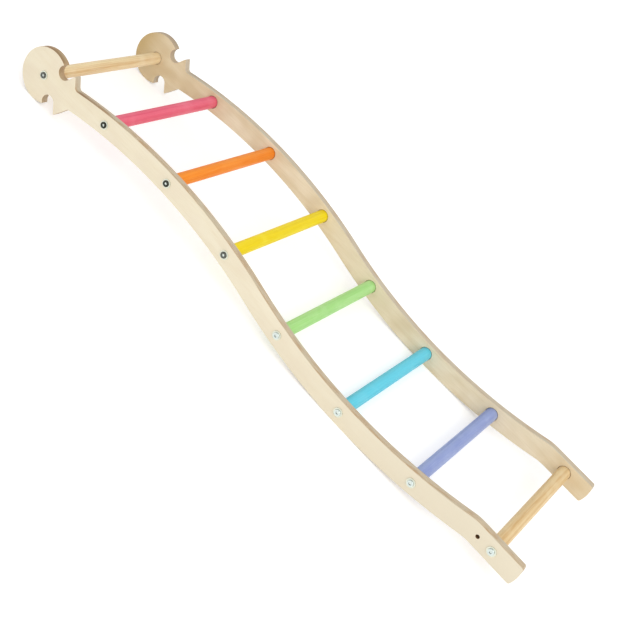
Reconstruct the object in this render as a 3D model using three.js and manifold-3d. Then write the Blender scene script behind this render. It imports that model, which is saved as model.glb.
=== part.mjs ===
// Wavy climbing ladder for children: two plywood rails with hook heads, and eight round rungs bolted
// between them. Millimetres. +X runs from the hook heads to the foot, +Y across the ladder, +Z up. The ladder
// lies on its two head discs and on the bellies of its two rails, with its origin on the floor below its middle.

import * as THREE from 'three';
import { mergeVertices } from 'three/addons/utils/BufferGeometryUtils.js';
import Module from 'manifold-3d';

// Boards
const overallWidth = 400;
const railThickness = 18;
const railDepth = 46;
const edgeRound = 1.2;

// Wave of the rails, seen from the side, from the centre of the top rung
const waveRadius = 1185;
const crestStation = 352;
const crestRise = 36.5;
const footRise = 1;
const footLength = 115;
const footEndRadius = 75;
const footCornerRound = 5;
const kinkRound = 100;

// Hook head of each rail: a disc on the top rung, a notch above and below it, and a pointed fin after each
const discRadius = 60;
const notchRadius = 15.5;
const notchStation = 39.5;
const notchRise = 40;
const finTipStation = 65.5;
const finTipRise = 53.5;
const finBackAngle = THREE.MathUtils.degToRad(57);
const finFillet = 9;
const pointedCornerRound = 0.5;

// Rungs
const rungDiameter = 28;
const rungEndChamfer = 1;
const rungSocketDepth = 6;
const rungSocketClearance = 0.4;
const secondRungStation = 180;
const footRungToEnd = 62.5;

// Spare hole in the outer face of each rail, on the head side of the foot rung
const spareHoleDiameter = 8;
const spareHoleDepth = 12;
const spareHoleToFootRung = 34.5;

// Bolts with a low, flat-topped head and a hexagon socket
const boltDiameter = 8;
const boltTipChamfer = 0.8;
const boltHoleClearance = 0.3;
const headDiameter = 14;
const headHeight = 2.4;
const headRim = 0.9;
const headTopDiameter = 11.6;
const socketWidth = 5;
const socketDepth = 2.6;

// Washers
const washerDiameter = 20;
const washerThickness = 1.6;
const washerClearance = 0.2;
const washerRound = 0.3;

// Threaded inserts in the rung ends
const insertWall = 1.2;
const insertFlangeStep = 0.6;
const insertFlange = 1.5;
const insertLength = 18;
const insertSink = 0.5;
const insertClearance = 0.2;
const insertHoleRoom = 3.5;
const insertPastBolt = 2.1;

// How finely curves are cut, and how far a cutter runs past the wood
const chordError = 0.1;
const fittingChordError = 0.16;
const overrun = 1;
const edgeFacets = 1;

const rungColours = [
  ['natural_top', 0xe6c891],
  ['pink', 0xec6a82],
  ['orange', 0xfd9232],
  ['yellow', 0xf6dc1e],
  ['green', 0xace88c],
  ['blue', 0x6cd2e8],
  ['violet', 0xa0acdc],
  ['natural_foot', 0xe6c891],
];

// Sizes that follow from the ones above
const rungRadius = rungDiameter / 2;
const railOffset = (overallWidth - railThickness) / 2;
const rungHalfLength = overallWidth / 2 - railThickness + rungSocketDepth;
const bellyDepth = discRadius - railDepth / 2;
const pointedCorner = edgeRound + pointedCornerRound;
const insertBore = boltDiameter / 2 + insertClearance;
const insertBody = insertBore + insertWall;
const insertRadius = insertBody + insertFlangeStep;
const clampedThickness = washerThickness + railThickness - rungSocketDepth;
const boltLength = clampedThickness + insertSink + insertLength - insertPastBolt;

// Plane geometry. An edge is a line or a circle that the outline follows with the wood on its left,
// and an offset edge lies that far to the left. A circle's turn is 1 anticlockwise and -1 clockwise.
const point = (x, z) => new THREE.Vector2(x, z);
const heading = (angle) => point(Math.cos(angle), Math.sin(angle));
const polar = (centre, radius, angle) => heading(angle).multiplyScalar(radius).add(centre);
const leftOf = (along) => point(-along.y, along.x);
const lineAlong = (from, angle) => ({ from, along: heading(angle) });
const lineTo = (from, to) => ({ from, along: to.clone().sub(from).normalize() });
const circle = (centre, radius, turn) => ({ centre, radius, turn });

function offset(edge, distance) {
  if (edge.centre) return circle(edge.centre, edge.radius - edge.turn * distance, edge.turn);
  return { from: leftOf(edge.along).multiplyScalar(distance).add(edge.from), along: edge.along };
}

function nearestOn(edge, target) {
  if (edge.centre) return target.clone().sub(edge.centre).setLength(edge.radius).add(edge.centre);
  const reach = target.clone().sub(edge.from).dot(edge.along);
  return edge.along.clone().multiplyScalar(reach).add(edge.from);
}

// The chord that a circle cuts from a line, or that two circles share, runs both ways from its middle
function crossings(a, b) {
  if (!a.centre && !b.centre) {
    const reach = b.from.clone().sub(a.from).cross(b.along) / a.along.cross(b.along);
    return [a.along.clone().multiplyScalar(reach).add(a.from)];
  }
  if (!b.centre) return crossings(b, a);
  const gap = a.centre ? b.centre.clone().sub(a.centre) : null;
  const shared = gap && (gap.lengthSq() + a.radius ** 2 - b.radius ** 2) / (2 * gap.length());
  const middle = gap ? gap.clone().setLength(shared).add(a.centre) : nearestOn(a, b.centre);
  const along = gap ? leftOf(gap).normalize() : a.along;
  const half = Math.sqrt(b.radius ** 2 - middle.distanceToSquared(b.centre));
  return [half, -half].map((reach) => along.clone().multiplyScalar(reach).add(middle));
}

function meet(a, b, near) {
  const found = crossings(a, b);
  found.sort((p, q) => p.distanceTo(near) - q.distanceTo(near));
  return found[0];
}

// Joints of the outline: a round outer corner, a round inner corner, or a point where edges are tangent
function corner(a, b, radius, near, side) {
  const centre = meet(offset(a, side * radius), offset(b, side * radius), near);
  return { start: nearestOn(a, centre), end: nearestOn(b, centre), round: circle(centre, radius, side) };
}
const outerCorner = (a, b, radius, near) => corner(a, b, radius, near, 1);
const innerCorner = (a, b, radius, near) => corner(a, b, radius, near, -1);
const tangentAt = (place) => ({ start: place, end: place });

// Points of a curve from its start up to, but without, its end
function run(edge, start, end) {
  if (!edge.centre) return [start];
  const first = start.clone().sub(edge.centre).angle();
  const last = end.clone().sub(edge.centre).angle();
  const sweep = THREE.MathUtils.euclideanModulo(edge.turn * (last - first), 2 * Math.PI);
  const steps = Math.ceil(sweep / (2 * Math.acos(1 - chordError / edge.radius)));
  const places = Array.from({ length: steps }, (_, i) => first + (edge.turn * sweep * i) / steps);
  return places.map((angle) => polar(edge.centre, edge.radius, angle));
}

function outline(edges, joints) {
  const points = [];
  edges.forEach((edge, i) => {
    const before = joints.at(i - 1);
    const after = joints[i];
    points.push(...run(edge, before.end, after.start));
    if (after.round) points.push(...run(after.round, after.start, after.end));
  });
  return points;
}

// The rail's centreline: an arc over the crest, an equal arc under the belly, and the straight foot
const crestCentre = point(crestStation, crestRise - waveRadius);
const waveHeight = crestRise + bellyDepth;
const waveLength = Math.sqrt(4 * waveRadius * waveHeight - waveHeight ** 2);
const bellyCentre = point(crestStation + waveLength, waveRadius - bellyDepth);
const kinkReach = Math.sqrt(waveRadius ** 2 - (bellyCentre.y - footRise) ** 2);
const kink = point(bellyCentre.x + kinkReach, footRise);
const footEnd = kink.x + footLength;
const inflection = bellyCentre.clone().sub(crestCentre);

const crestEndAngle = inflection.angle();
const bellyStartAngle = crestEndAngle - Math.PI;
const bellyEndAngle = Math.atan2(kink.y - bellyCentre.y, kinkReach);
const secondRungAngle = Math.acos((secondRungStation - crestStation) / waveRadius);
const crestRun = waveRadius * (secondRungAngle - crestEndAngle);
const bellyRun = waveRadius * (bellyEndAngle - bellyStartAngle);
const footRun = footLength - footRungToEnd;

// A place on the centreline, at a distance along it from the second rung
function onCentreline(distance) {
  const pastCrest = distance - crestRun;
  const pastBelly = pastCrest - bellyRun;
  if (pastCrest < 0) return polar(crestCentre, waveRadius, secondRungAngle - distance / waveRadius);
  if (pastBelly < 0) return polar(bellyCentre, waveRadius, bellyStartAngle + pastCrest / waveRadius);
  return point(kink.x + pastBelly, kink.y);
}

const headCentre = point(0, 0);
const lowerRungGaps = rungColours.length - 2;
const rungPitch = (crestRun + bellyRun + footRun) / lowerRungGaps;
const lowerRungs = Array.from({ length: lowerRungGaps + 1 }, (_, i) => onCentreline(i * rungPitch));
const rungPlaces = [headCentre, ...lowerRungs];
const spareHolePlace = point(footEnd - footRungToEnd - spareHoleToFootRung, footRise);

// Upper or lower side of the head: a round notch in the disc's rim, then a fin whose straight front leaves
// the notch at a tangent, and hints of where the outline turns
function headSide(up) {
  const notchCentre = point(notchStation, up * notchRise);
  const tip = point(finTipStation, up * finTipRise);
  const toTip = tip.clone().sub(notchCentre);
  const tangentAngle = toTip.angle() - up * Math.acos(notchRadius / toTip.length());
  const leave = polar(notchCentre, notchRadius, tangentAngle);
  const discCorner = polar(headCentre, discRadius, Math.atan2(up * notchRise, notchStation - notchRadius));
  const backEnd = point(finTipStation + railDepth / 2, up * railDepth / 2);
  return { notch: circle(notchCentre, notchRadius, -1), tip, leave, discCorner, backEnd };
}

function railOutline() {
  const half = railDepth / 2;
  const upper = headSide(1);
  const lower = headSide(-1);
  const inflectionAt = (side) => inflection.clone().setLength(waveRadius + side * half).add(crestCentre);
  const disc = circle(headCentre, discRadius, 1);
  const finFrontBelow = lineTo(lower.leave, lower.tip);
  const finBackBelow = lineAlong(lower.tip, finBackAngle);
  const crestBelow = circle(crestCentre, waveRadius - half, -1);
  const bellyBelow = circle(bellyCentre, waveRadius + half, 1);
  const footBelow = lineAlong(point(kink.x, kink.y - half), 0);
  const end = circle(point(footEnd - footEndRadius, footRise), footEndRadius, 1);
  const footAbove = lineAlong(point(kink.x, kink.y + half), Math.PI);
  const bellyAbove = circle(bellyCentre, waveRadius - half, -1);
  const crestAbove = circle(crestCentre, waveRadius + half, 1);
  const finBackAbove = lineAlong(upper.tip, Math.PI - finBackAngle);
  const finFrontAbove = lineTo(upper.tip, upper.leave);
  const edges = [
    disc, lower.notch, finFrontBelow, finBackBelow, crestBelow, bellyBelow, bellyBelow, footBelow, end,
    end, footAbove, bellyAbove, crestAbove, crestAbove, finBackAbove, finFrontAbove, upper.notch, disc, disc,
  ];
  const joints = [
    outerCorner(disc, lower.notch, pointedCorner, lower.discCorner),
    tangentAt(lower.leave),
    outerCorner(finFrontBelow, finBackBelow, pointedCorner, lower.tip),
    innerCorner(finBackBelow, crestBelow, finFillet, lower.backEnd),
    tangentAt(inflectionAt(-1)),
    tangentAt(point(bellyCentre.x, -discRadius)),
    innerCorner(bellyBelow, footBelow, kinkRound, kink),
    outerCorner(footBelow, end, footCornerRound, point(footEnd, footRise - half)),
    tangentAt(point(footEnd, footRise)),
    outerCorner(end, footAbove, footCornerRound, point(footEnd, footRise + half)),
    outerCorner(footAbove, bellyAbove, kinkRound, kink),
    tangentAt(inflectionAt(1)),
    tangentAt(point(crestStation, crestRise + half)),
    innerCorner(crestAbove, finBackAbove, finFillet, upper.backEnd),
    outerCorner(finBackAbove, finFrontAbove, pointedCorner, upper.tip),
    tangentAt(upper.leave),
    outerCorner(upper.notch, disc, pointedCorner, upper.discCorner),
    tangentAt(point(-discRadius, 0)),
    tangentAt(point(0, -discRadius)),
  ];
  return outline(edges, joints);
}

// Solids
const wasm = await Module();
wasm.setup();

function toManifold(geometry) {
  const bare = geometry.clone();
  bare.deleteAttribute('normal');
  bare.deleteAttribute('uv');
  const merged = mergeVertices(bare);
  const vertProperties = new Float32Array(merged.getAttribute('position').array);
  const triVerts = new Uint32Array(merged.getIndex().array);
  return new wasm.Manifold(new wasm.Mesh({ numProp: 3, vertProperties, triVerts }));
}

function toGeometry(solid) {
  const mesh = solid.getMesh();
  const geometry = new THREE.BufferGeometry();
  geometry.setAttribute('position', new THREE.BufferAttribute(new Float32Array(mesh.vertProperties), 3));
  geometry.setIndex(new THREE.BufferAttribute(new Uint32Array(mesh.triVerts), 1));
  geometry.computeVertexNormals();
  return geometry;
}

function cut(geometry, cutters) {
  const solid = cutters.reduce((left, cutter) => left.subtract(toManifold(cutter)), toManifold(geometry));
  return toGeometry(solid);
}

const facetsFor = (radius, error) => Math.ceil(Math.PI / Math.acos(1 - error / radius));
const fitting = (profile, radius) => new THREE.LatheGeometry(profile, facetsFor(radius, fittingChordError));

// A round hole along Y, from one height to another
function drill(place, radius, fromY, toY) {
  const facets = facetsFor(radius, chordError);
  const cylinder = new THREE.CylinderGeometry(radius, radius, Math.abs(toY - fromY), facets);
  return cylinder.translate(place.x, (fromY + toY) / 2, place.y);
}

function material(color, roughness, metalness) {
  return new THREE.MeshStandardMaterial({ color, roughness, metalness });
}
const plywood = material(0xeee4ca, 0.55, 0);
const zinc = material(0xc9ccce, 0.3, 1);
const insertZinc = material(0xb9b29a, 0.4, 1);

// Rail: the outline with eased edges, a shallow socket and a bolt hole for each rung, and the spare hole
function railGeometry(side) {
  const shape = new THREE.Shape(railOutline());
  const board = new THREE.ExtrudeGeometry(shape, {
    depth: railThickness - 2 * edgeRound,
    bevelThickness: edgeRound,
    bevelSize: edgeRound,
    bevelOffset: -edgeRound,
    bevelSegments: edgeFacets,
  });
  board.translate(0, 0, edgeRound - railThickness / 2);
  board.rotateX(Math.PI / 2);
  const outer = (side * railThickness) / 2;
  const past = side * overrun;
  const socketFloor = side * rungSocketDepth - outer;
  const socketRadius = rungRadius + rungSocketClearance;
  const boltHoleRadius = boltDiameter / 2 + boltHoleClearance;
  const sockets = rungPlaces.map((place) => drill(place, socketRadius, -outer - past, socketFloor));
  const boltHoles = rungPlaces.map((place) => drill(place, boltHoleRadius, -outer - past, outer + past));
  const spareFloor = outer - side * spareHoleDepth;
  const spareHole = drill(spareHolePlace, spareHoleDiameter / 2, spareFloor, outer + past);
  return cut(board, [...sockets, ...boltHoles, spareHole]);
}

// Rung: a turned bar with chamfered ends and a blind hole for an insert in each
function rungGeometry() {
  const holeRadius = insertRadius + insertClearance;
  const holeFloor = rungHalfLength - insertSink - insertLength - insertHoleRoom;
  const end = [
    point(0, holeFloor),
    point(holeRadius, holeFloor),
    point(holeRadius, rungHalfLength),
    point(rungRadius - rungEndChamfer, rungHalfLength),
    point(rungRadius, rungHalfLength - rungEndChamfer),
  ];
  const otherEnd = end.map((place) => point(place.x, -place.y));
  return new THREE.LatheGeometry([...otherEnd, ...end.reverse()], facetsFor(rungRadius, chordError));
}

// Bolt: its tip is at the profile's start and its head at the end; the head's seat is at height 0
function boltGeometry() {
  const shank = boltDiameter / 2;
  const domeShares = [0.45, 0.8];
  const domeWidth = (headDiameter - headTopDiameter) / 2;
  const domeHeight = headHeight - headRim;
  const dome = domeShares.map((share) => point(
    headDiameter / 2 - domeWidth * (1 - Math.sqrt(1 - share ** 2)),
    headRim + domeHeight * share,
  ));
  const profile = [
    point(0, -boltLength),
    point(shank - boltTipChamfer, -boltLength),
    point(shank, boltTipChamfer - boltLength),
    point(shank, 0),
    point(headDiameter / 2, 0),
    point(headDiameter / 2, headRim),
    ...dome,
    point(headTopDiameter / 2, headHeight),
    point(0, headHeight),
  ];
  const cornerRadius = socketWidth / Math.sqrt(3);
  const socket = new THREE.CylinderGeometry(cornerRadius, cornerRadius, socketDepth + overrun, 6);
  socket.translate(0, headHeight + (overrun - socketDepth) / 2, 0);
  return cut(fitting(profile, headDiameter / 2), [socket]);
}

// Washer: its seat is at height 0
function washerGeometry() {
  const inner = boltDiameter / 2 + washerClearance;
  const outer = washerDiameter / 2;
  const profile = [
    point(inner, 0),
    point(outer, 0),
    point(outer, washerThickness - washerRound),
    point(outer - washerRound, washerThickness),
    point(inner, washerThickness),
    point(inner, 0),
  ];
  return fitting(profile, outer);
}

// Insert: a bush with a flange round its mouth, which is at height 0
function insertGeometry() {
  const profile = [
    point(insertBore, -insertLength),
    point(insertBody, -insertLength),
    point(insertBody, -insertFlange),
    point(insertRadius, -insertFlange),
    point(insertRadius, 0),
    point(insertBore, 0),
    point(insertBore, -insertLength),
  ];
  return fitting(profile, insertRadius);
}

// Assembly
const ladder = new THREE.Group();
ladder.position.set((discRadius - footEnd) / 2, 0, discRadius);

function add(name, geometry, finish, place, y, outward = 1) {
  const mesh = new THREE.Mesh(geometry, finish.clone());
  mesh.name = name;
  mesh.position.set(place.x, y, place.y);
  mesh.rotation.z = outward < 0 ? Math.PI : 0;
  ladder.add(mesh);
}

const rung = rungGeometry();
rungColours.forEach(([colour, hex], i) => {
  add(`rung_${i + 1}_${colour}`, rung, material(hex, 0.45, 0), rungPlaces[i], 0);
});

const bolt = boltGeometry();
const washer = washerGeometry();
const insert = insertGeometry();
for (const [name, side] of [['left', -1], ['right', 1]]) {
  add(`rail_${name}`, railGeometry(side), plywood, headCentre, side * railOffset);
  const outerFace = overallWidth / 2;
  rungPlaces.forEach((place, i) => {
    add(`washer_${name}_${i + 1}`, washer, zinc, place, side * outerFace, side);
    add(`bolt_${name}_${i + 1}`, bolt, zinc, place, side * (outerFace + washerThickness), side);
    add(`insert_${name}_${i + 1}`, insert, insertZinc, place, side * (rungHalfLength - insertSink), side);
  });
}

export default ladder;
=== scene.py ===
import math

import bmesh
import bpy
from mathutils import Color, Matrix, Vector, geometry


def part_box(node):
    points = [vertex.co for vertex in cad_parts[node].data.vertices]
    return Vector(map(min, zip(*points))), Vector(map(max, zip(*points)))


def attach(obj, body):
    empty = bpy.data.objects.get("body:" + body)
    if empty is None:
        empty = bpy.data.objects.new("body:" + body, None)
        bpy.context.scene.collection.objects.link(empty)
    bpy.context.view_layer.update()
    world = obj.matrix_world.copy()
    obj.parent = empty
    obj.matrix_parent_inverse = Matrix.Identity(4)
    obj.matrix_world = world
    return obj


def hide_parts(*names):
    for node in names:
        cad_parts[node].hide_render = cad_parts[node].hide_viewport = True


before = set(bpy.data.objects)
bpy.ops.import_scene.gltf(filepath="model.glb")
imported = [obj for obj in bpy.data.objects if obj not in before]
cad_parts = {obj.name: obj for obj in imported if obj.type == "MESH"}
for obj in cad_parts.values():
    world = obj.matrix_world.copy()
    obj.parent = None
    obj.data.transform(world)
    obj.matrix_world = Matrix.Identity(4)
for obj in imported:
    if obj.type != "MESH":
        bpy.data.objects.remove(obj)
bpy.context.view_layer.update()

# Children's climbing ladder: two wavy plywood rails with hook heads, and eight round rungs
# bolted between them.
# Metres. +X runs from the hook heads to the foot, +Y from the left rail to the right one, +Z up.


def middle(node):
    low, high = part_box(node)
    return (low + high) / 2


# Rungs, from the hook heads to the foot
RUNG_COLOURS = ("natural_top", "pink", "orange", "yellow", "green", "blue", "violet", "natural_foot")
RUNG_NAMES = [f"rung_{number}_{colour}" for number, colour in enumerate(RUNG_COLOURS, 1)]
RUNG_PLACES = [Vector((middle(name).x, middle(name).z)) for name in RUNG_NAMES]
RUNG_RADIUS = 0.014
RUNG_HALF_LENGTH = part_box(RUNG_NAMES[0])[1].y
RUNG_END_ROUND = 0.001
INSERT_HOLE_RADIUS = 0.0062
INSERT_HOLE_DEPTH = 0.022

# Rails: plywood boards, and the wave of their centreline measured from the top rung
RAIL_OUTER_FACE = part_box("rail_right")[1].y
RAIL_THICKNESS = 0.018
RAIL_DEPTH = 0.046
RAIL_EDGE_ROUND = 0.0012
WAVE_RADIUS = 1.185
CREST_STATION = 0.352
CREST_RISE = 0.0365
FOOT_RISE = 0.001
FOOT_LENGTH = 0.115
FOOT_END_RADIUS = 0.075
FOOT_CORNER_ROUND = 0.005
KINK_ROUND = 0.1

# Hook head: a disc round the top rung, a notch above and below it, and a pointed fin after each notch
DISC_RADIUS = 0.06
NOTCH_RADIUS = 0.0155
NOTCH_STATION = 0.0395
NOTCH_RISE = 0.04
FIN_TIP_STATION = 0.0655
FIN_TIP_RISE = 0.0535
FIN_BACK_ANGLE = math.radians(57)
FIN_FILLET = 0.009
POINTED_CORNER_ROUND = 0.0017

# The plywood's layers, with plies and glue lines as shares of one ply
PLY_COUNT = 13
PLY = RAIL_THICKNESS / PLY_COUNT
PLY_WANDER = 0.3
GLUE_LINE = (0.42, 0.5)
CROSS_PLY = (0.47, 0.53)
VENEER = 0.0007

# Where the plywood's tones come in or fade: stretches along X, and one stretch of heights
HEAD_FADE = (-0.56, -0.4)
FOOT_FADE = (-0.2, 0.6)
FOOT_TIP_FADE = (0.54, 0.68)
DISC_FADE = (-0.705, -0.635)
RIM_FADE = (-0.625, -0.613)
HOOK_FADE = (-0.6, -0.592)
HOOK_HEIGHTS = (0.03, 0.045)
FIN_FADE = (-0.566, -0.552)

# Depths from the board's inner face at which one look of the plywood gives way to another
INNER_VENEER_END = (VENEER * 0.8, VENEER)
LAYERS_FADE = (RAIL_THICKNESS * 0.2, RAIL_THICKNESS * 0.8)
FACES_PART = (RAIL_THICKNESS * 0.45, RAIL_THICKNESS * 0.55)
OUTER_VENEER_START = (RAIL_THICKNESS - VENEER, RAIL_THICKNESS - VENEER * 0.8)

# Holes in the rails: a socket and a bolt hole for each rung, and a spare hole near the foot rung
RUNG_SOCKET_RADIUS = 0.0144
RUNG_SOCKET_DEPTH = 0.006
RUNG_SOCKET_MOUTH = 0.0006
BOLT_HOLE_RADIUS = 0.0043
SPARE_HOLE_RADIUS = 0.004
SPARE_HOLE_DEPTH = 0.012
SPARE_HOLE_TO_FOOT_RUNG = 0.0345
SPARE_HOLE_POINT = 0.0016
HOLE_MOUTH = 0.0003

# Bolts with a low, flat-topped head and a hexagon socket, and their washers
HEAD_RADIUS = 0.007
HEAD_HEIGHT = 0.0024
HEAD_SIDE_HEIGHT = 0.0009
HEAD_TOP_RADIUS = 0.0058
HEAD_SEAT_ROUND = HEAD_SIDE_HEIGHT / 4
HEX_SIDES = 6
HEX_MOUTH_RADIUS = 0.0035
HEX_MOUTH_DEPTH = 0.0002
HEX_CORNER_RADIUS = 0.0032
HEX_DEPTH = 0.0015
HEX_POINT = 0.0005
SHANK_RADIUS = 0.004
SHANK_LENGTH = 0.03
SHANK_CHAMFER = 0.0008
# Painted reflection: the heads of the four bolts nearest the hook heads are painted grey or dark, the
# rest bright, as one zinc mirrors darker or brighter surroundings
HEAD_LOOKS = ("grey", "dark", "dark", "grey", "bright", "bright", "bright", "bright")
WASHER_THICKNESS = 0.0016
WASHER_RADIUS = 0.01
WASHER_HOLE_RADIUS = 0.0042
WASHER_EDGE_ROUND = 0.0003

# Each bolt is turned by one golden angle more than the last, so that no two sockets stand alike
BOLT_TURN = math.pi * (3 - math.sqrt(5))

# How finely curves are cut
OUTLINE_CHORD_ERROR = 0.00001
HOLE_FACETS = 64
RUNG_FACETS = 72
HEAD_FACETS = 48
HEAD_RIM_FACETS = 8
EDGE_FACETS = 4
STEEL_EDGE_FACETS = 2
SHARP_ANGLE = math.radians(35)
MERGE_DISTANCE = 0.000002

ACROSS = Vector((0, 1, 0))
ORIGIN = Vector((0, 0))
WHITE = (1, 1, 1, 1)


# Shader numbers and finishes

# Sockets of a Mix node where it mixes colours
MIX_SHARE = 0
MIX_FIRST = 6
MIX_SECOND = 7
MIX_RESULT = 2


class Number:
    """A number that varies over a surface, on which sums are written as sums."""

    def __init__(self, nodes, socket):
        self.nodes = nodes
        self.socket = socket

    def maths(self, operation, *values):
        settings = {"operation": operation}
        node = self.nodes.node("ShaderNodeMath", settings, dict(enumerate(values)))
        return Number(self.nodes, node.outputs[0])

    def __add__(self, other):
        return self.maths("ADD", self, other)

    def __sub__(self, other):
        return self.maths("SUBTRACT", self, other)

    def __rsub__(self, other):
        return self.maths("SUBTRACT", other, self)

    def __mul__(self, other):
        return self.maths("MULTIPLY", self, other)

    def __truediv__(self, other):
        return self.maths("DIVIDE", self, other)

    def __rtruediv__(self, other):
        return self.maths("DIVIDE", other, self)

    def __abs__(self):
        return self.maths("ABSOLUTE", self)

    __radd__ = __add__
    __rmul__ = __mul__

    def fraction(self):
        return self.maths("FRACT", self)

    def larger(self, other):
        return self.maths("MAXIMUM", self, other)

    def between(self, low, high):
        """0 below low, 1 above high, and a smooth rise in between."""
        settings = {"interpolation_type": "SMOOTHSTEP"}
        sockets = {"Value": self, "From Min": low, "From Max": high}
        node = self.nodes.node("ShaderNodeMapRange", settings, sockets)
        return Number(self.nodes, node.outputs["Result"])


class Nodes:
    """The nodes of a material or of the world."""

    def __init__(self, owner):
        owner.use_nodes = True
        self.tree = owner.node_tree

    def node(self, kind, settings=None, sockets=None):
        """Adds a node, and gives it its settings and then the values or links of its sockets."""
        made = self.tree.nodes.new(kind)
        for name, value in (settings or {}).items():
            setattr(made, name, value)
        for name, value in (sockets or {}).items():
            self.feed(made.inputs[name], value)
        return made

    def feed(self, socket, value):
        value = getattr(value, "socket", value)
        if isinstance(value, bpy.types.NodeSocket):
            self.tree.links.new(value, socket)
        else:
            socket.default_value = value

    def rays(self, kind):
        """1 where a ray of this kind looks at the surface, and 0 elsewhere."""
        return Number(self, self.node("ShaderNodeLightPath").outputs[kind])


class Finish(Nodes):
    """A material, with the place on the object that it colours."""

    def __init__(self, name):
        self.material = bpy.data.materials.new(name)
        super().__init__(self.material)
        self.shader = self.tree.nodes["Principled BSDF"]
        self.place = self.node("ShaderNodeTexCoord").outputs["Object"]

    def axes(self):
        """How far each point of the surface lies along X, Y and Z."""
        split = self.node("ShaderNodeSeparateXYZ", {}, {"Vector": self.place})
        return [Number(self, axis) for axis in split.outputs]

    def set(self, **values):
        """Feeds the shader's own sockets; a name's underscores stand for spaces."""
        for name, value in values.items():
            self.feed(self.shader.inputs[name.replace("_", " ")], value)

    def noise(self, per_metre, shift=(0, 0, 0), detail=2.0, roughness=0.5, distortion=0.0):
        """Noise with so many grains a metre along X, Y and Z, shifted by some grains."""
        mapping = {"Vector": self.place, "Location": shift, "Scale": per_metre}
        sockets = {
            "Vector": self.node("ShaderNodeMapping", {}, mapping).outputs["Vector"],
            "Scale": 1.0,
            "Detail": detail,
            "Roughness": roughness,
            "Distortion": distortion,
        }
        node = self.node("ShaderNodeTexNoise", {"noise_dimensions": "3D"}, sockets)
        return Number(self, node.outputs["Fac"])

    def mix(self, share, first, second, blend="MIX"):
        settings = {"data_type": "RGBA", "blend_type": blend}
        sockets = {MIX_SHARE: share, MIX_FIRST: first, MIX_SECOND: second}
        return self.node("ShaderNodeMix", settings, sockets).outputs[MIX_RESULT]

    def coated(self, colour, *coats, blend="MIX"):
        """A colour under coats, each given by where it lies, how strong it is, and its own colour."""
        for where, strength, coat in coats:
            colour = self.mix(where * strength, colour, coat, blend)
        return colour

    def bump(self, height, strength, distance):
        sockets = {"Height": height, "Strength": strength, "Distance": distance}
        return self.node("ShaderNodeBump", {}, sockets).outputs["Normal"]


def tone(red, green, blue):
    """A colour as it is seen, from 0 to 255, for a shader."""
    seen = Color((red / 255, green / 255, blue / 255))
    return (*seen.from_srgb_to_scene_linear(), 1)


# The plywood's layers, as its edges show them
SIDE_GRAIN_PALE = tone(228, 212, 184)
SIDE_GRAIN_DEEP = tone(212, 191, 158)
END_GRAIN_PALE = tone(190, 166, 133)
END_GRAIN_DEEP = tone(148, 121, 92)
GLUE = tone(134, 110, 84)
TAN_PATCH = tone(182, 142, 96)
GREY_PATCH = tone(202, 194, 170)
INNER_LAYERS = tone(204, 196, 176)
RIGHT_RAIL_LAYERS = tone(206, 199, 182)

# Painted shade that darkens those layers round the hook head: on the notch walls, round the upper notch
# and on the disc's rim
HEAD_PAINTED_SHADE = tone(168, 139, 96)
HOOK_PAINTED_SHADE = tone(239, 223, 203)
RIM_PAINTED_SHADE = tone(158, 137, 93)

# The plywood's faces, with the outer one paler than the inner one
OUTER_PALE = tone(244, 234, 209)
OUTER_DEEP = tone(234, 220, 190)
OUTER_CLOUD = tone(236, 222, 198)
OUTER_FOOT = tone(228, 217, 193)
INNER_PALE = tone(238, 224, 197)
INNER_DEEP = tone(221, 203, 168)
INNER_CLOUD = tone(210, 190, 154)
INNER_HEAD = tone(214, 190, 144)
INNER_HEAD_CLOUD = tone(190, 160, 108)
INNER_DISC = tone(192, 160, 98)
INNER_TIP = tone(212, 186, 140)
FLECK = tone(214, 190, 150)

# The walls of drilled holes and rung sockets: brown end grain, darkened with painted shade as deep in a
# hole and round a rung's end
DRILLED_PALE = tone(150, 112, 74)
DRILLED_DEEP = tone(112, 78, 48)
BORE_PAINTED_SHADE = tone(74, 50, 32)

# Each wood of the rungs by its pale, main and streak colours
BARE_WOOD = (tone(243, 227, 188), tone(237, 211, 162), tone(204, 162, 102))
PALE_BARE_WOOD = (tone(252, 241, 210), tone(248, 229, 184), tone(208, 169, 112))
STAINED_WOODS = {
    "pink": (tone(244, 140, 156), tone(238, 108, 130), tone(218, 78, 106)),
    "orange": (tone(255, 170, 78), tone(252, 151, 40), tone(238, 126, 20)),
    "yellow": (tone(255, 241, 74), tone(252, 227, 6), tone(234, 204, 2)),
    "green": (tone(204, 240, 178), tone(184, 233, 150), tone(158, 216, 122)),
    "blue": (tone(146, 224, 238), tone(104, 213, 233), tone(76, 190, 216)),
    "violet": (tone(182, 196, 230), tone(158, 173, 217), tone(134, 148, 202)),
}


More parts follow.
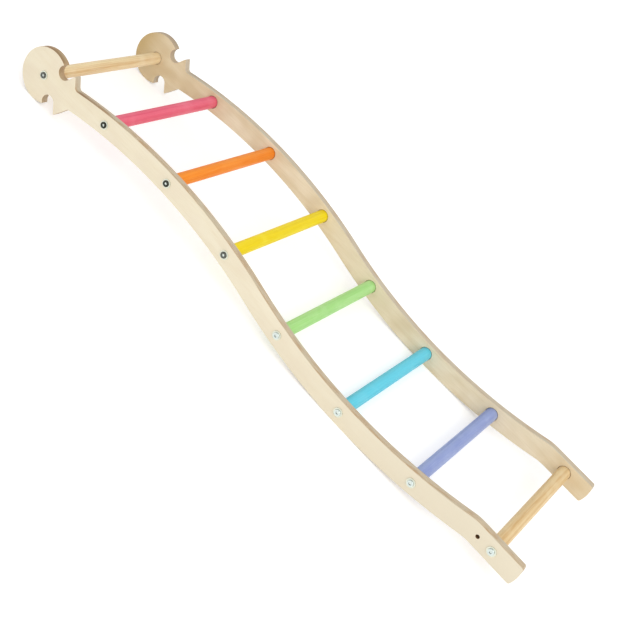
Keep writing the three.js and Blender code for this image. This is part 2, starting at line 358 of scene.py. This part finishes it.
def plywood():
    """Birch plywood, layered through its thickness, with its face grain along the ladder."""
    finish = Finish("birch_plywood")
    x, y, z = finish.axes()
    at_head = 1 - x.between(*HEAD_FADE)
    at_foot = x.between(*FOOT_FADE)
    at_tip = x.between(*FOOT_TIP_FADE)
    at_disc = 1 - x.between(*DISC_FADE)
    at_rim = 1 - x.between(*RIM_FADE)
    at_hook = (1 - x.between(*HOOK_FADE)) * z.between(*HOOK_HEIGHTS)
    past_fin = x.between(*FIN_FADE)
    on_right = y.between(-RAIL_THICKNESS, RAIL_THICKNESS)

    wander = finish.noise(per_metre=(9, 9, 9), detail=1.0) - 0.5
    depth = abs(y) - (RAIL_OUTER_FACE - RAIL_THICKNESS)
    layer = (depth + wander * (PLY * PLY_WANDER)) / PLY
    is_cross = (layer * 0.5).fraction().between(*CROSS_PLY)
    glue_line = abs(layer.fraction() - 0.5).between(*GLUE_LINE)
    outer_layers = depth.between(*LAYERS_FADE)
    pores = finish.noise(per_metre=(1400, 500, 1400), detail=1.0)
    along = finish.noise(per_metre=(60, 900, 60))
    patch = finish.noise(per_metre=(34, 130, 34))
    grey_patch = finish.noise(per_metre=(22, 110, 22), shift=(0, 0, 4), detail=1.0)
    side_grain = finish.mix(along.between(0.35, 0.7), SIDE_GRAIN_PALE, SIDE_GRAIN_DEEP)
    end_grain = finish.mix(pores.between(0.45, 0.7), END_GRAIN_PALE, END_GRAIN_DEEP)
    edge = finish.coated(
        finish.mix(is_cross, side_grain, end_grain),
        (glue_line, 0.55, GLUE),
        (patch.between(0.42, 0.66), 0.6, TAN_PATCH),
        (grey_patch.between(0.45, 0.65), 0.5, GREY_PATCH),
        (1 - outer_layers, 0.3, INNER_LAYERS),
    )
    # Painted shade on the edges round the hook head, where the notches and the disc's rim fall in shade
    edge = finish.coated(
        edge,
        (at_head * past_fin, outer_layers * 0.55 + 0.15, HEAD_PAINTED_SHADE),
        (at_hook, 1, HOOK_PAINTED_SHADE),
        (at_rim, outer_layers * 0.3 + 0.2, RIM_PAINTED_SHADE),
        blend="MULTIPLY",
    )
    edge = finish.coated(edge, (on_right, 0.3, RIGHT_RAIL_LAYERS))

    broad = finish.noise(per_metre=(7, 40, 42), detail=3.0, roughness=0.55, distortion=0.6)
    fine = finish.noise(per_metre=(26, 300, 900))
    fleck = finish.noise(per_metre=(160, 300, 1800), detail=1.0)
    cloud = finish.noise(per_metre=(17, 4, 21), detail=1.0)
    figure = broad.between(0.3, 0.75) * 0.55 + fine.between(0.35, 0.8) * 0.45
    outer = finish.coated(
        finish.mix(figure, OUTER_PALE, OUTER_DEEP),
        (cloud.between(0.4, 0.75), 0.5, OUTER_CLOUD),
        (at_foot, 0.85, OUTER_FOOT),
    )
    inner = finish.coated(
        finish.mix(figure, INNER_PALE, INNER_DEEP),
        (cloud.between(0.42, 0.75), 0.5, INNER_CLOUD),
        (at_head, 0.38, INNER_HEAD),
        (at_head * cloud.between(0.42, 0.7), 0.2, INNER_HEAD_CLOUD),
        (at_disc, 0.75, INNER_DISC),
        (at_tip, 0.5, INNER_TIP),
    )
    face = finish.mix(depth.between(*FACES_PART), inner, outer)
    face = finish.coated(face, (fleck.between(0.66, 0.8), 0.3, FLECK))

    on_veneer = depth.between(*OUTER_VENEER_START) + (1 - depth.between(*INNER_VENEER_END))
    finish.set(
        Base_Color=finish.mix(on_veneer, edge, face),
        Roughness=figure * 0.12 + 0.5,
        Normal=finish.bump(fine * 0.6 + pores * 0.4, strength=0.12, distance=0.0002),
        Specular_IOR_Level=0.25,
    )
    return finish.material


def drilled_wood_with_painted_shade():
    """The wall of a drilled hole: brown wood, darkened with painted shade in patches, as shade falls
    deep in a hole.
    """
    finish = Finish("drilled_wood_with_painted_shade")
    rough = finish.noise(per_metre=(900, 900, 900))
    painted_shade_patches = finish.noise(per_metre=(120, 120, 120))
    wall = finish.mix(rough.between(0.35, 0.7), DRILLED_PALE, DRILLED_DEEP)
    finish.set(
        Base_Color=finish.coated(wall, (painted_shade_patches.between(0.4, 0.7), 0.5, BORE_PAINTED_SHADE)),
        Roughness=rough * 0.1 + 0.8,
        Normal=finish.bump(rough, strength=0.3, distance=0.0003),
        Specular_IOR_Level=0.15,
    )
    return finish.material


def turned_wood(name, pale, wood, streak, cut=0.0):
    """A turned bar with its grain along Y, bare or stained; cut is where in the log it comes from."""
    finish = Finish(name)
    rings = finish.noise(
        per_metre=(95, 1.7, 95), shift=(0, cut, 0), detail=3.0, roughness=0.6, distortion=0.5)
    fine = finish.noise(per_metre=(700, 12, 700))
    pores = finish.noise(per_metre=(1500, 110, 1500), detail=1.0)
    cloud = finish.noise(per_metre=(20, 22, 20))
    figure = rings.between(0.36, 0.66) * 0.6 + fine.between(0.35, 0.7) * 0.4
    colour = finish.coated(
        finish.mix(figure, wood, streak),
        (fine.between(0.55, 0.75), 0.5, pale),
        (pores.between(0.6, 0.75), 0.45, streak),
        (cloud.between(0.45, 0.8), 0.3, pale),
    )
    finish.set(
        Base_Color=colour,
        Roughness=figure * 0.12 + 0.45,
        Normal=finish.bump(fine * 0.7 + pores * 0.3, strength=0.2, distance=0.0003),
        Specular_IOR_Level=0.25,
    )
    return finish.material


def steel(name, bright, dull, roughness):
    """Plated steel with a faint mottle and fine scratches."""
    finish = Finish(name)
    mottle = finish.noise(per_metre=(700, 700, 700), detail=3.0)
    scratch = finish.noise(per_metre=(6000, 900, 900), detail=1.0)
    worn = mottle.between(0.4, 0.7)
    finish.set(
        Base_Color=finish.mix(worn, bright, dull),
        Roughness=worn * 0.12 + roughness,
        Normal=finish.bump(scratch, strength=0.1, distance=0.00005),
        Metallic=1.0,
    )
    return finish.material


# Plane geometry of the rail's outline, in X and Z. The wood lies on the left of every edge

def left_of(along):
    return Vector((-along.y, along.x))


def heading(angle):
    return Vector((math.cos(angle), math.sin(angle)))


class Straight:
    """A straight edge, by its start and the way that it runs."""

    def __init__(self, start, along):
        self.start = start
        self.along = along.normalized()

    def moved_left(self, distance):
        return Straight(self.start + left_of(self.along) * distance, self.along)

    def nearest(self, place):
        return self.start + self.along * (place - self.start).dot(self.along)


class Round:
    """A round edge: a turn of 1 runs anticlockwise, and -1 clockwise."""

    def __init__(self, centre, radius, turn):
        self.centre = centre
        self.radius = radius
        self.turn = turn

    def moved_left(self, distance):
        return Round(self.centre, self.radius - self.turn * distance, self.turn)

    def nearest(self, place):
        return self.centre + (place - self.centre).normalized() * self.radius


def crossings(a, b):
    """Where two edges cross when both are drawn out in full."""
    if isinstance(a, Straight) and isinstance(b, Straight):
        reach = (b.start - a.start).cross(b.along) / a.along.cross(b.along)
        return [a.start + a.along * reach]
    if isinstance(a, Straight):
        return geometry.intersect_line_sphere_2d(a.start, a.start + a.along, b.centre, b.radius, False)
    if isinstance(b, Straight):
        return crossings(b, a)
    return geometry.intersect_sphere_sphere_2d(a.centre, a.radius, b.centre, b.radius)


def rounded(a, b, radius, near, side):
    """Joins two edges by an arc: an outer corner has side 1 and an inner corner -1."""
    places = crossings(a.moved_left(side * radius), b.moved_left(side * radius))
    centre = min(places, key=lambda place: (place - near).length)
    return a.nearest(centre), Round(centre, radius, side), b.nearest(centre)


def outer_corner(a, b, radius, near):
    return rounded(a, b, radius, near, 1)


def inner_corner(a, b, radius, near):
    return rounded(a, b, radius, near, -1)


def tangent_at(place):
    """Lets two edges run into each other without a corner."""
    return place, None, place


class Pen:
    """Draws an outline as a chain of edges in the plane of a board."""

    def __init__(self, place):
        self.bm = bmesh.new()
        self.place = place
        self.tip = self.bm.verts.new((place.x, 0, place.y))

    def follow(self, edge, place):
        if isinstance(edge, Round):
            start, end = self.place - edge.centre, place - edge.centre
            sweep = (edge.turn * (math.atan2(end.y, end.x) - math.atan2(start.y, start.x))) % math.tau
            steps = math.ceil(sweep / (2 * math.acos(1 - OUTLINE_CHORD_ERROR / edge.radius)))
            centre = (edge.centre.x, 0, edge.centre.y)
            made = bmesh.ops.spin(
                self.bm, geom=[self.tip], cent=centre, axis=-ACROSS,
                angle=edge.turn * sweep, steps=steps)
            self.tip = made["geom_last"][0]
        else:
            made = bmesh.ops.extrude_vert_indiv(self.bm, verts=[self.tip])
            self.tip = made["verts"][0]
        self.tip.co = (place.x, 0, place.y)
        self.place = place


class HeadSide:
    """The upper or lower side of a hook head, with the places where its outline turns."""

    def __init__(self, up):
        notch_centre = Vector((NOTCH_STATION, up * NOTCH_RISE))
        self.tip = Vector((FIN_TIP_STATION, up * FIN_TIP_RISE))
        to_tip = self.tip - notch_centre
        tangent_angle = math.atan2(to_tip.y, to_tip.x) - up * math.acos(NOTCH_RADIUS / to_tip.length)
        self.notch = Round(notch_centre, NOTCH_RADIUS, -1)
        self.leave = notch_centre + heading(tangent_angle) * NOTCH_RADIUS
        notch_front = Vector((NOTCH_STATION - NOTCH_RADIUS, up * NOTCH_RISE))
        self.disc_corner = notch_front.normalized() * DISC_RADIUS
        self.back_end = Vector((FIN_TIP_STATION + RAIL_DEPTH / 2, up * RAIL_DEPTH / 2))


def rail_outline():
    """The rail's outline as a closed chain of edges round the top rung, in the board's middle plane."""
    half = RAIL_DEPTH / 2
    belly_depth = DISC_RADIUS - half
    wave_height = CREST_RISE + belly_depth
    wave_length = math.sqrt(4 * WAVE_RADIUS * wave_height - wave_height ** 2)
    crest_centre = Vector((CREST_STATION, CREST_RISE - WAVE_RADIUS))
    belly_centre = Vector((CREST_STATION + wave_length, WAVE_RADIUS - belly_depth))
    kink_reach = math.sqrt(WAVE_RADIUS ** 2 - (belly_centre.y - FOOT_RISE) ** 2)
    kink = Vector((belly_centre.x + kink_reach, FOOT_RISE))
    foot_end = kink.x + FOOT_LENGTH
    foot_corner_below = Vector((foot_end, FOOT_RISE - half))
    foot_corner_above = Vector((foot_end, FOOT_RISE + half))
    to_belly = (belly_centre - crest_centre).normalized()
    onward = Vector((1, 0))

    upper, lower = HeadSide(1), HeadSide(-1)
    disc = Round(ORIGIN, DISC_RADIUS, 1)
    disc_top = outer_corner(upper.notch, disc, POINTED_CORNER_ROUND, upper.disc_corner)
    fin_front_below = Straight(lower.leave, lower.tip - lower.leave)
    fin_back_below = Straight(lower.tip, heading(FIN_BACK_ANGLE))
    crest_below = Round(crest_centre, WAVE_RADIUS - half, -1)
    belly_below = Round(belly_centre, WAVE_RADIUS + half, 1)
    foot_below = Straight(Vector((kink.x, kink.y - half)), onward)
    foot_tip = Round(Vector((foot_end - FOOT_END_RADIUS, FOOT_RISE)), FOOT_END_RADIUS, 1)
    foot_above = Straight(Vector((kink.x, kink.y + half)), -onward)
    belly_above = Round(belly_centre, WAVE_RADIUS - half, -1)
    crest_above = Round(crest_centre, WAVE_RADIUS + half, 1)
    fin_back_above = Straight(upper.tip, heading(math.pi - FIN_BACK_ANGLE))
    fin_front_above = Straight(upper.tip, upper.leave - upper.tip)

    # Each edge with the corner that ends it, from the disc round the rail and back to the disc
    steps = [
        (disc, outer_corner(disc, lower.notch, POINTED_CORNER_ROUND, lower.disc_corner)),
        (lower.notch, tangent_at(lower.leave)),
        (fin_front_below,
         outer_corner(fin_front_below, fin_back_below, POINTED_CORNER_ROUND, lower.tip)),
        (fin_back_below, inner_corner(fin_back_below, crest_below, FIN_FILLET, lower.back_end)),
        (crest_below, tangent_at(crest_centre + to_belly * (WAVE_RADIUS - half))),
        (belly_below, inner_corner(belly_below, foot_below, KINK_ROUND, kink)),
        (foot_below, outer_corner(foot_below, foot_tip, FOOT_CORNER_ROUND, foot_corner_below)),
        (foot_tip, outer_corner(foot_tip, foot_above, FOOT_CORNER_ROUND, foot_corner_above)),
        (foot_above, outer_corner(foot_above, belly_above, KINK_ROUND, kink)),
        (belly_above, tangent_at(crest_centre + to_belly * (WAVE_RADIUS + half))),
        (crest_above, inner_corner(crest_above, fin_back_above, FIN_FILLET, upper.back_end)),
        (fin_back_above,
         outer_corner(fin_back_above, fin_front_above, POINTED_CORNER_ROUND, upper.tip)),
        (fin_front_above, tangent_at(upper.leave)),
        (upper.notch, disc_top),
    ]
    pen = Pen(disc_top[-1])
    for edge, (start, corner, end) in steps:
        pen.follow(edge, start)
        if corner:
            pen.follow(corner, end)
    bmesh.ops.remove_doubles(pen.bm, verts=pen.bm.verts, dist=MERGE_DISTANCE)
    return pen.bm


# Mesh work

def lathe(bm, profile, facets, centre=ORIGIN):
    """Turns a profile of (radius, height) corners round a line along Y."""
    corners = [bm.verts.new((centre.x + radius, height, centre.y)) for radius, height in profile]
    edges = [bm.edges.new(pair) for pair in zip(corners, corners[1:])]
    bmesh.ops.spin(
        bm, geom=corners + edges, cent=(centre.x, 0, centre.y), axis=ACROSS,
        angle=math.tau, steps=facets, use_merge=True)


def only(kind, items):
    return [item for item in items if isinstance(item, kind)]


def smooth(bm):
    for face in bm.faces:
        face.smooth = True


def ring_edges(bm, radius, height):
    """The edges of a ring round the Y axis."""
    def on_ring(vert):
        reach = math.hypot(vert.co.x, vert.co.z)
        return abs(reach - radius) < MERGE_DISTANCE and abs(vert.co.y - height) < MERGE_DISTANCE
    return [edge for edge in bm.edges if all(on_ring(vert) for vert in edge.verts)]


def ease(bm, edges, radius, segments):
    """Rounds some edges off."""
    bmesh.ops.bevel(
        bm, geom=edges, offset=radius, segments=segments, profile=0.5, affect="EDGES", material=-1)


def tidy(bm):
    bmesh.ops.remove_doubles(bm, verts=bm.verts, dist=MERGE_DISTANCE)
    bmesh.ops.recalc_face_normals(bm, faces=bm.faces)


def piece(name, bm, materials, node):
    """Makes a finished mesh into a piece that stands for a CAD node of the ladder."""
    mesh = bpy.data.meshes.new(name)
    bm.to_mesh(mesh)
    bm.free()
    mesh.set_sharp_from_angle(angle=SHARP_ANGLE)
    for material in materials:
        mesh.materials.append(material)
    made = bpy.data.objects.new(name, mesh)
    bpy.context.scene.collection.objects.link(made)
    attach(made, "root")
    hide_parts(node)


# Rails

def eased_board(bm):
    """Thickens the outline into a board with rounded arrises, and returns its two flat caps."""
    cap = bmesh.ops.contextual_create(bm, geom=bm.edges[:])["faces"][0]
    straight = RAIL_THICKNESS - 2 * RAIL_EDGE_ROUND
    bmesh.ops.translate(bm, verts=cap.verts, vec=-ACROSS * straight / 2)
    raised = bmesh.ops.extrude_face_region(bm, geom=[cap])["geom"]
    bmesh.ops.translate(bm, verts=only(bmesh.types.BMVert, raised), vec=ACROSS * straight)
    bmesh.ops.recalc_face_normals(bm, faces=bm.faces)
    caps = [face for face in bm.faces if abs(face.normal.y) > 0.5]
    for step in range(EDGE_FACETS):
        before = math.pi / 2 * step / EDGE_FACETS
        after = math.pi / 2 * (step + 1) / EDGE_FACETS
        inward = RAIL_EDGE_ROUND * (math.cos(before) - math.cos(after))
        outward = RAIL_EDGE_ROUND * (math.sin(after) - math.sin(before))
        for face in caps:
            bmesh.ops.inset_region(
                bm, faces=[face], thickness=inward, depth=outward, use_boundary=True,
                use_even_offset=True)
    return caps


def drill(bm, profile, centre):
    """Adds the wall of a bore, which shows the second material."""
    solid = set(bm.faces)
    lathe(bm, profile, HOLE_FACETS, centre)
    for face in set(bm.faces) - solid:
        face.material_index = 1


def rim_edges(bm, height):
    """The open edges that lie at this height."""
    def at_height(vert):
        return abs(vert.co.y - height) < MERGE_DISTANCE
    return [edge for edge in bm.edges if edge.is_boundary and all(map(at_height, edge.verts))]


def rail(side, board, bores):
    """One rail, modelled with its outer face towards +Y and then turned to its own side."""
    outer, inner = RAIL_THICKNESS / 2, -RAIL_THICKNESS / 2
    socket_bottom = inner + RUNG_SOCKET_DEPTH
    rung_bore = [
        (BOLT_HOLE_RADIUS + HOLE_MOUTH, outer),
        (BOLT_HOLE_RADIUS, outer - HOLE_MOUTH),
        (BOLT_HOLE_RADIUS, socket_bottom),
        (RUNG_SOCKET_RADIUS, socket_bottom),
        (RUNG_SOCKET_RADIUS, inner + RUNG_SOCKET_MOUTH),
        (RUNG_SOCKET_RADIUS + RUNG_SOCKET_MOUTH, inner),
    ]
    spare_bottom = outer - SPARE_HOLE_DEPTH
    spare_bore = [
        (SPARE_HOLE_RADIUS + HOLE_MOUTH, outer),
        (SPARE_HOLE_RADIUS, outer - HOLE_MOUTH),
        (SPARE_HOLE_RADIUS, spare_bottom),
        (0, spare_bottom - SPARE_HOLE_POINT),
    ]
    bm = rail_outline()
    caps = eased_board(bm)
    head = RUNG_PLACES[0]
    for place in RUNG_PLACES:
        drill(bm, rung_bore, place - head)
    drill(bm, spare_bore, RUNG_PLACES[-1] - head - Vector((SPARE_HOLE_TO_FOOT_RUNG, 0)))

    # The caps give way to flat skins that leave the bores open
    bmesh.ops.delete(bm, geom=caps, context="FACES_ONLY")
    bmesh.ops.remove_doubles(bm, verts=bm.verts, dist=MERGE_DISTANCE)
    smooth(bm)
    for height in (outer, inner):
        skin = bmesh.ops.triangle_fill(
            bm, use_beauty=True, edges=rim_edges(bm, height), normal=ACROSS * height)
        for face in only(bmesh.types.BMFace, skin["geom"]):
            face.smooth = False
    bmesh.ops.scale(bm, verts=bm.verts, vec=(1, side, 1))
    centre = Vector((head.x, side * (RAIL_OUTER_FACE - RAIL_THICKNESS / 2), head.y))
    bmesh.ops.translate(bm, verts=bm.verts, vec=centre)
    tidy(bm)
    name = "rail_right" if side > 0 else "rail_left"
    piece(name + "_board", bm, (board, bores), name)


# Rungs

def rung(index, material):
    """A round bar with a blind hole for its insert in each end."""
    end = RUNG_HALF_LENGTH
    hole_bottom = end - INSERT_HOLE_DEPTH
    half = [
        (0, hole_bottom),
        (INSERT_HOLE_RADIUS, hole_bottom),
        (INSERT_HOLE_RADIUS, end),
        (RUNG_RADIUS, end),
    ]
    other_half = [(radius, -height) for radius, height in half]
    bm = bmesh.new()
    lathe(bm, other_half + half[::-1], RUNG_FACETS)
    bmesh.ops.remove_doubles(bm, verts=bm.verts, dist=MERGE_DISTANCE)
    for height in (end, -end):
        ease(bm, ring_edges(bm, RUNG_RADIUS, height), RUNG_END_ROUND, EDGE_FACETS)
    smooth(bm)
    place = RUNG_PLACES[index]
    bmesh.ops.translate(bm, verts=bm.verts, vec=(place.x, 0, place.y))
    tidy(bm)
    name, colour = RUNG_NAMES[index], RUNG_COLOURS[index]
    piece(name + "_bar", bm, (material,), name)


# Bolts and washers, modelled with their seat at height 0 and their outer end towards +Y

def hexagon(bm, height):
    """A hexagon socket's mouth, with as many points as the ring round it."""
    made = bmesh.ops.create_circle(
        bm, cap_ends=False, radius=HEX_CORNER_RADIUS, segments=HEX_SIDES)
    bmesh.ops.rotate(bm, verts=made["verts"], matrix=Matrix.Rotation(math.pi / 2, 3, "X"))
    bmesh.ops.translate(bm, verts=made["verts"], vec=ACROSS * height)
    sides = list({edge for vert in made["verts"] for edge in vert.link_edges})
    split = bmesh.ops.subdivide_edges(bm, edges=sides, cuts=HEAD_FACETS // HEX_SIDES - 1)
    return only(bmesh.types.BMEdge, split["geom"])


def extrude_ring(bm, edges, height, scale):
    """Draws a closed loop of edges out to another height and size, and returns the new loop."""
    made = bmesh.ops.extrude_edge_only(bm, edges=edges)["geom"]
    verts = only(bmesh.types.BMVert, made)
    bmesh.ops.scale(bm, verts=verts, vec=(scale, 1, scale))
    bmesh.ops.translate(bm, verts=verts, vec=ACROSS * height)
    return only(bmesh.types.BMEdge, made)


def bolt_shape():
    """A bolt: shank, low head with a rounded rim, and hexagon socket."""
    rim_width = HEAD_RADIUS - HEAD_TOP_RADIUS
    rim_height = HEAD_HEIGHT - HEAD_SIDE_HEIGHT
    angles = [math.pi / 2 * step / HEAD_RIM_FACETS for step in range(HEAD_RIM_FACETS + 1)]
    rim = [
        (HEAD_TOP_RADIUS + rim_width * math.cos(angle),
         HEAD_SIDE_HEIGHT + rim_height * math.sin(angle))
        for angle in angles
    ]
    profile = [
        (0, -SHANK_LENGTH),
        (SHANK_RADIUS - SHANK_CHAMFER, -SHANK_LENGTH),
        (SHANK_RADIUS, SHANK_CHAMFER - SHANK_LENGTH),
        (SHANK_RADIUS, 0),
        (HEAD_RADIUS, 0),
        *rim,
        (HEX_MOUTH_RADIUS, HEAD_HEIGHT),
    ]
    bm = bmesh.new()
    lathe(bm, profile, HEAD_FACETS)
    bmesh.ops.remove_doubles(bm, verts=bm.verts, dist=MERGE_DISTANCE)
    ease(bm, ring_edges(bm, HEAD_RADIUS, 0), HEAD_SEAT_ROUND, STEEL_EDGE_FACETS)
    mouth = ring_edges(bm, HEX_MOUTH_RADIUS, HEAD_HEIGHT)
    hex_edges = hexagon(bm, HEAD_HEIGHT - HEX_MOUTH_DEPTH)
    bmesh.ops.bridge_loops(bm, edges=mouth + hex_edges)

    # The socket's wall shows the second material, painted shade, and its pointed bottom the third, a
    # painted highlight
    head = set(bm.faces)
    bottom_edges = extrude_ring(bm, hex_edges, HEX_MOUTH_DEPTH - HEX_DEPTH, scale=1)
    wall = set(bm.faces) - head
    extrude_ring(bm, bottom_edges, -HEX_POINT, scale=0)
    for face in set(bm.faces) - head:
        face.material_index = 1 if face in wall else 2
    tidy(bm)
    smooth(bm)
    return bm


def washer_shape():
    profile = [
        (WASHER_HOLE_RADIUS, 0),
        (WASHER_RADIUS, 0),
        (WASHER_RADIUS, WASHER_THICKNESS),
        (WASHER_HOLE_RADIUS, WASHER_THICKNESS),
        (WASHER_HOLE_RADIUS, 0),
    ]
    bm = bmesh.new()
    lathe(bm, profile, HEAD_FACETS)
    bmesh.ops.remove_doubles(bm, verts=bm.verts, dist=MERGE_DISTANCE)
    for height in (0, WASHER_THICKNESS):
        ease(bm, ring_edges(bm, WASHER_RADIUS, height), WASHER_EDGE_ROUND, STEEL_EDGE_FACETS)
    tidy(bm)
    smooth(bm)
    return bm


def seated(shape, place, side, height, spin):
    """A copy of a fastener, spun about its own axis, facing out of its rail and put in its place."""
    bm = shape.copy()
    facing = Matrix.Rotation(0 if side > 0 else math.pi, 3, "Z")
    bmesh.ops.rotate(bm, verts=bm.verts, matrix=facing @ Matrix.Rotation(spin, 3, "Y"))
    bmesh.ops.translate(bm, verts=bm.verts, vec=(place.x, side * height, place.y))
    return bm


def fasteners(looks, washer_finish):
    """Bolts on washers. A bolt's look gives the finishes of its head, socket wall and bottom, which
    carry painted reflection, painted shade and a painted highlight.
    """
    bolt, washer = bolt_shape(), washer_shape()
    for side, label in ((-1, "left"), (1, "right")):
        for number, (place, look) in enumerate(zip(RUNG_PLACES, HEAD_LOOKS), 1):
            spin = BOLT_TURN * number * side
            node = f"washer_{label}_{number}"
            ring = seated(washer, place, side, RAIL_OUTER_FACE, spin)
            piece(node + "_ring", ring, (washer_finish,), node)
            node = f"bolt_{label}_{number}"
            screw = seated(bolt, place, side, RAIL_OUTER_FACE + WASHER_THICKNESS, spin)
            piece(node + "_screw", screw, looks[look], node)
    bolt.free()
    washer.free()


# The ladder's pieces with their finishes

plywood_finish = plywood()
bore_finish = drilled_wood_with_painted_shade()
for side in (-1, 1):
    rail(side, plywood_finish, bore_finish)

bar_finishes = {
    "natural_top": turned_wood("pale_beech", *PALE_BARE_WOOD, cut=3.0),
    "natural_foot": turned_wood("natural_beech", *BARE_WOOD),
    **{colour: turned_wood(f"{colour}_wood", *tones) for colour, tones in STAINED_WOODS.items()},
}
for index, colour in enumerate(RUNG_COLOURS):
    rung(index, bar_finishes[colour])

# One zinc in lit and shaded copies: bright heads, grey or dark heads with painted reflection, painted
# shade on the socket's wall and a painted highlight on its bottom
bright_zinc = steel("bright_zinc", tone(197, 207, 203), tone(184, 194, 192), roughness=0.34)
zinc_painted_grey_reflection = steel("zinc_painted_grey_reflection", tone(97, 99, 95), tone(77, 79, 75), roughness=0.42)
zinc_painted_dark_reflection = steel("zinc_painted_dark_reflection", tone(60, 62, 56), tone(42, 44, 38), roughness=0.42)
socket_painted_shade = steel("socket_painted_shade", tone(66, 74, 76), tone(46, 54, 56), roughness=0.5)
socket_painted_highlight = steel("socket_painted_highlight", tone(210, 218, 212), tone(190, 200, 194), roughness=0.4)
washer_zinc = steel("washer_zinc", tone(208, 210, 195), tone(194, 197, 182), roughness=0.42)
bolt_looks = {
    "bright": (bright_zinc, socket_painted_shade, socket_painted_highlight),
    "grey": (zinc_painted_grey_reflection, zinc_painted_grey_reflection, socket_painted_highlight),
    "dark": (zinc_painted_dark_reflection, zinc_painted_dark_reflection, socket_painted_highlight),
}
fasteners(bolt_looks, washer_zinc)

insert_steel = steel("insert_steel", tone(206, 196, 160), tone(170, 158, 120), roughness=0.4)
for label in ("left", "right"):
    for number in range(1, len(RUNG_PLACES) + 1):
        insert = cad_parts[f"insert_{label}_{number}"]
        insert.data.materials.clear()
        insert.data.materials.append(insert_steel)


# Floor, light and camera

FLOOR_HALF_SIZE = 12.0
FLOOR_GREY = tone(243, 243, 243)
FLOOR_WHITE = tone(247, 247, 247)

# How strongly the floor glows where it is looked at and where it is mirrored, and the world's
# strength where it lights the ladder and where it is seen
FLOOR_GLOW = 0.3
MIRRORED_FLOOR_GLOW = 0.6
WORLD_LIGHT = 0.8
SEEN_WORLD_LIGHT = 1.0

KEY_PLACE = Vector((3.2, -3.4, 3.7))
KEY_SIZE = 4.0
KEY_POWER = 118.0

# The turn in degrees, the lens in millimetres, and the shift as shares of the picture's width
CAMERA_PLACE = (0.58177, -2.18301, 1.42108)
CAMERA_TURN = (58.0056, -31.9403, 36.9902)
CAMERA_LENS = 73.953
CAMERA_SHIFT = (0.00968, -0.25806)


def floor_finish():
    """White paper that glows where it is looked at or mirrored, and keeps the object's soft shadow."""
    finish = Finish("floor_paper")
    fibre = finish.noise(per_metre=(300, 300, 300))
    finish.set(
        Base_Color=finish.mix(fibre, FLOOR_GREY, FLOOR_WHITE),
        Roughness=0.9,
        Specular_IOR_Level=0.0,
    )
    seen = finish.rays("Is Camera Ray") * FLOOR_GLOW
    mirrored = finish.rays("Is Glossy Ray") * MIRRORED_FLOOR_GLOW
    glow = finish.node("ShaderNodeEmission", {}, {"Color": WHITE, "Strength": seen + mirrored})
    lit = finish.node("ShaderNodeAddShader", {}, {0: finish.shader.outputs[0], 1: glow.outputs[0]})
    finish.feed(finish.tree.nodes["Material Output"].inputs["Surface"], lit.outputs[0])
    return finish.material


def floor():
    bm = bmesh.new()
    bmesh.ops.create_grid(bm, x_segments=1, y_segments=1, size=FLOOR_HALF_SIZE)
    mesh = bpy.data.meshes.new("floor")
    bm.to_mesh(mesh)
    bm.free()
    mesh.materials.append(floor_finish())
    made = bpy.data.objects.new("floor", mesh)
    bpy.context.scene.collection.objects.link(made)


def world_light():
    """Even white light all round, and a pure white background behind the object."""
    world = bpy.data.worlds.new("studio")
    bpy.context.scene.world = world
    nodes = Nodes(world)
    seen = nodes.rays("Is Camera Ray").larger(nodes.rays("Is Glossy Ray"))
    background = nodes.tree.nodes["Background"].inputs
    nodes.feed(background["Color"], WHITE)
    nodes.feed(background["Strength"], seen * (SEEN_WORLD_LIGHT - WORLD_LIGHT) + WORLD_LIGHT)


def key_light():
    """One large soft lamp on the camera's side."""
    lamp = bpy.data.lights.new("key", "AREA")
    lamp.size = KEY_SIZE
    lamp.energy = KEY_POWER
    made = bpy.data.objects.new("key", lamp)
    made.location = KEY_PLACE
    made.rotation_euler = (-KEY_PLACE).to_track_quat("-Z", "Y").to_euler()
    bpy.context.scene.collection.objects.link(made)


def camera():
    lens = bpy.data.cameras.new("camera")
    lens.lens = CAMERA_LENS
    lens.shift_x, lens.shift_y = CAMERA_SHIFT
    made = bpy.data.objects.new("camera", lens)
    made.location = CAMERA_PLACE
    made.rotation_euler = [math.radians(angle) for angle in CAMERA_TURN]
    bpy.context.scene.collection.objects.link(made)
    bpy.context.scene.camera = made


floor()
world_light()
key_light()
camera()
bpy.context.scene.view_settings.view_transform = "Standard"
